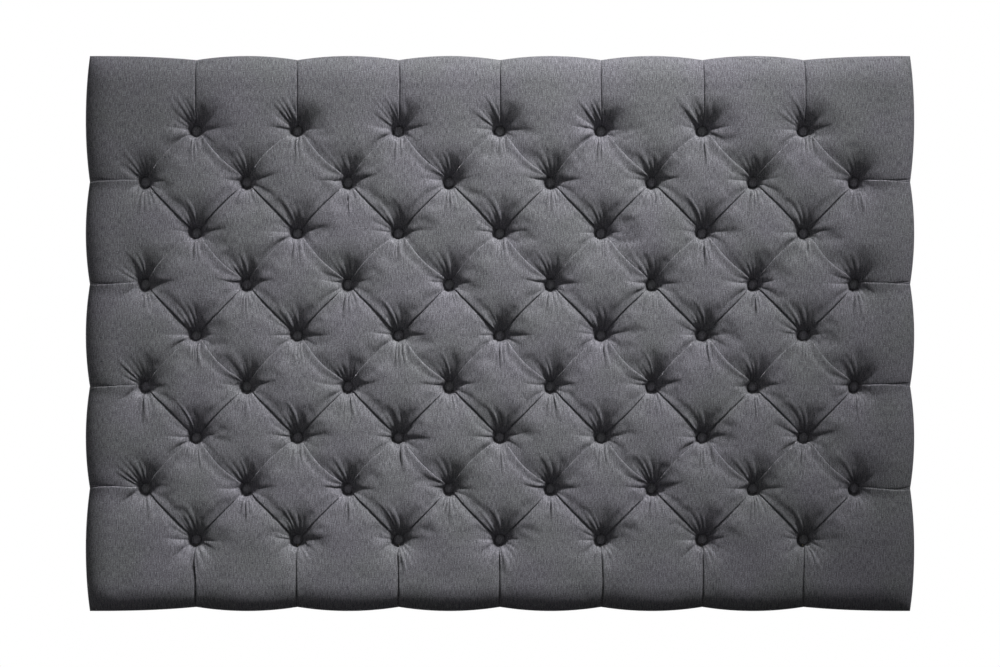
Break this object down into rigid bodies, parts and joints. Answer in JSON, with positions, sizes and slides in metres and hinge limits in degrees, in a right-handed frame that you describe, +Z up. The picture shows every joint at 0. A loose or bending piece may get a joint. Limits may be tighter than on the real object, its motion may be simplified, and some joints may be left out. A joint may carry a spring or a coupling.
{
  "type": "upholstered headboard",
  "caption": "Wide deep-buttoned upholstered headboard panel in charcoal chenille, diamond tufted with lobed edges, on a timber frame for struts or wall hangers.",
  "frame": {"origin": "middle of the four strut bolt holes, on the back plane of the timber frame", "axes": "+X to the right seen from the front, +Y out of the back, towards the wall, +Z up"},
  "size_m": [1.818, 0.1183, 1.2182],
  "materials": {
    "chenille": "charcoal heathered chenille with a fine upright streak and a soft sheen",
    "chenille_button": "button covered in the same charcoal chenille",
    "twine": "waxed linen buttoning twine",
    "foam": "open-cell polyurethane foam",
    "plywood": "unfinished poplar plywood",
    "pine": "planed unfinished pine",
    "lining": "black spunbonded lining cloth",
    "staple_wire": "galvanised staple wire",
    "zinc_screw": "bright zinc plate",
    "zinc_nut": "bright zinc plate",
    "zinc_plate": "bright zinc plate"
  },
  "bodies": {
    "root": {"tufted_cover": "chenille", "buttons": "chenille_button", "button_twines": "twine", "twine_staples": "staple_wire", "foam_core": "foam", "edge_foam_top": "foam", "edge_foam_bottom": "foam", "edge_foam_left": "foam", "edge_foam_right": "foam", "plywood_board": "plywood", "top_rail": "pine", "mid_rail": "pine", "bottom_rail": "pine", "left_stile": "pine", "right_stile": "pine", "left_strut_stile": "pine", "right_strut_stile": "pine", "lap_screws": "zinc_screw", "tee_nuts": "zinc_nut", "hem_staples": "staple_wire", "back_lining": "lining", "lining_staples": "staple_wire", "hanger_plates": "zinc_plate", "hanger_screws": "zinc_screw"}
  },
  "joints": []
}
